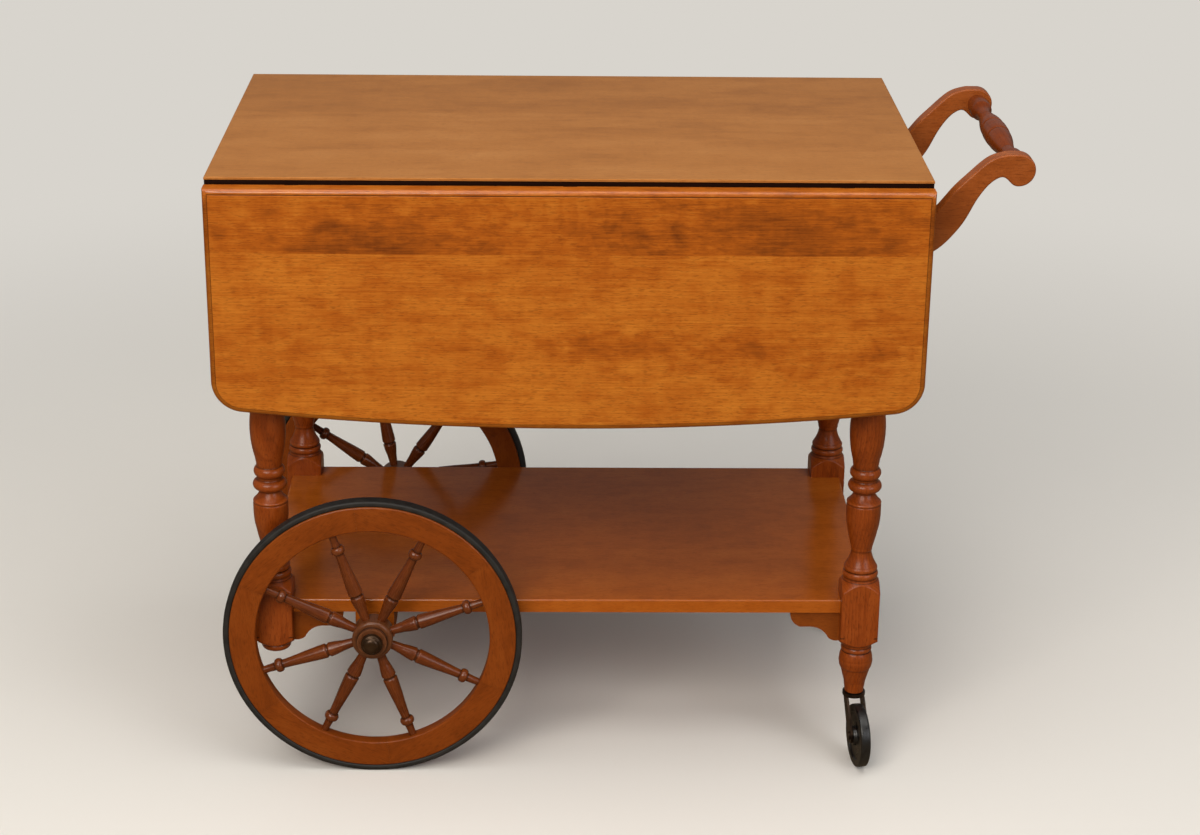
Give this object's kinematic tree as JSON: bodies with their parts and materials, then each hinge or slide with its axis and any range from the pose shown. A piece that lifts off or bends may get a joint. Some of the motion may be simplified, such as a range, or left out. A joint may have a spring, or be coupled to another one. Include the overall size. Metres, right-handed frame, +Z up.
{
  "type": "drop leaf tea trolley",
  "caption": "Maple tea trolley with hanging bow-edged drop leaves, turned legs, a lower shelf, large spoked wheels at one end, casters at the other and a scrolled push handle.",
  "frame": {"origin": "on the floor under the middle of the bounding box", "axes": "+X along the length towards the push handle, +Y towards the rear leaf, +Z up"},
  "size_m": [0.9175, 0.5248, 0.7329],
  "materials": {
    "maple_board": "satin lacquer",
    "maple_turned": "satin lacquer",
    "steel_hardware": "zinc plated",
    "bronzed_metal": "bronzed",
    "brass": "plain",
    "tyre_rubber": "matt",
    "caster_rubber": "satin"
  },
  "bodies": {
    "frame": {"top_board": "maple_board", "front_long_apron": "maple_board", "rear_long_apron": "maple_board", "handle_end_apron": "maple_board", "wheel_end_apron": "maple_board", "corner_blocks": "maple_board", "lower_shelf": "maple_board", "scroll_brackets": "maple_board", "axle_beam": "maple_board", "front_handle_arm": "maple_board", "rear_handle_arm": "maple_board", "front_handle_end_leg": "maple_turned", "rear_handle_end_leg": "maple_turned", "front_wheel_end_leg": "maple_turned", "rear_wheel_end_leg": "maple_turned", "handle_grip": "maple_turned", "front_hinge_plates_on_top": "steel_hardware", "rear_hinge_plates_on_top": "steel_hardware", "front_hinge_pins": "steel_hardware", "rear_hinge_pins": "steel_hardware", "front_hinge_screws_in_top": "steel_hardware", "rear_hinge_screws_in_top": "steel_hardware", "front_stay_strikers": "steel_hardware", "rear_stay_strikers": "steel_hardware", "corner_block_screws": "steel_hardware", "axle_beam_screws": "steel_hardware", "axle_rod": "steel_hardware", "axle_collars": "steel_hardware", "handle_arm_screws": "steel_hardware", "axle_nuts": "bronzed_metal", "front_caster_socket": "brass", "rear_caster_socket": "brass"},
    "front_leaf_body": {"front_leaf": "maple_board", "front_hinge_plates_on_leaf": "steel_hardware", "front_hinge_screws_in_leaf": "steel_hardware", "front_stay_brackets": "steel_hardware", "front_stay_pins": "steel_hardware"},
    "front_stay_body": {"front_leaf_stays": "steel_hardware"},
    "front_wheel_body": {"front_wheel_felloes": "maple_turned", "front_wheel_tyre": "tyre_rubber", "front_wheel_spokes": "maple_turned", "front_wheel_hub": "maple_turned", "front_wheel_bush": "brass"},
    "front_caster_body": {"front_caster_fork": "bronzed_metal", "front_caster_axle_pin": "steel_hardware"},
    "front_caster_wheel_body": {"front_caster_wheel": "caster_rubber"},
    "rear_leaf_body": {"rear_leaf": "maple_board", "rear_hinge_plates_on_leaf": "steel_hardware", "rear_hinge_screws_in_leaf": "steel_hardware", "rear_stay_brackets": "steel_hardware", "rear_stay_pins": "steel_hardware"},
    "rear_stay_body": {"rear_leaf_stays": "steel_hardware"},
    "rear_wheel_body": {"rear_wheel_felloes": "maple_turned", "rear_wheel_tyre": "tyre_rubber", "rear_wheel_spokes": "maple_turned", "rear_wheel_hub": "maple_turned", "rear_wheel_bush": "brass"},
    "rear_caster_body": {"rear_caster_fork": "bronzed_metal", "rear_caster_axle_pin": "steel_hardware"},
    "rear_caster_wheel_body": {"rear_caster_wheel": "caster_rubber"}
  },
  "joints": [
    {"name": "front_leaf_hinge", "type": "hinge", "parent": "frame", "child": "front_leaf_body", "pos_m": [-0.06025, -0.2428, 0.709], "axis": [-1, 0, 0], "range_deg": [0, 90]},
    {"name": "front_stay_pivot", "type": "hinge", "parent": "front_leaf_body", "child": "front_stay_body", "pos_m": [-0.06025, -0.2268, 0.609], "axis": [1, 0, 0], "range_deg": [0, 149.8]},
    {"name": "front_wheel_roll", "type": "hinge", "parent": "frame", "child": "front_wheel_body", "pos_m": [-0.28575, -0.2327, 0.173], "axis": [0, 1, 0], "continuous": true},
    {"name": "front_caster_swivel", "type": "hinge", "parent": "frame", "child": "front_caster_body", "pos_m": [0.28225, -0.191, 0.0815], "axis": [0, 0, 1], "continuous": true},
    {"name": "front_caster_roll", "type": "hinge", "parent": "front_caster_body", "child": "front_caster_wheel_body", "pos_m": [0.28642, -0.22071, 0.0375], "axis": [0.9903, 0.1392, 0], "continuous": true},
    {"name": "rear_leaf_hinge", "type": "hinge", "parent": "frame", "child": "rear_leaf_body", "pos_m": [-0.06025, 0.2428, 0.709], "axis": [1, 0, 0], "range_deg": [0, 90]},
    {"name": "rear_stay_pivot", "type": "hinge", "parent": "rear_leaf_body", "child": "rear_stay_body", "pos_m": [-0.06025, 0.2268, 0.609], "axis": [-1, 0, 0], "range_deg": [0, 149.8]},
    {"name": "rear_wheel_roll", "type": "hinge", "parent": "frame", "child": "rear_wheel_body", "pos_m": [-0.28575, 0.2327, 0.173], "axis": [0, 1, 0], "continuous": true},
    {"name": "rear_caster_swivel", "type": "hinge", "parent": "frame", "child": "rear_caster_body", "pos_m": [0.28225, 0.191, 0.0815], "axis": [0, 0, 1], "continuous": true},
    {"name": "rear_caster_roll", "type": "hinge", "parent": "rear_caster_body", "child": "rear_caster_wheel_body", "pos_m": [0.28642, 0.16129, 0.0375], "axis": [0.9903, 0.1392, 0], "continuous": true}
  ],
  "couplings": [
    {"joint": "front_stay_pivot", "follows": "front_leaf_hinge", "ratio": 1.664},
    {"joint": "rear_stay_pivot", "follows": "rear_leaf_hinge", "ratio": 1.664}
  ]
}
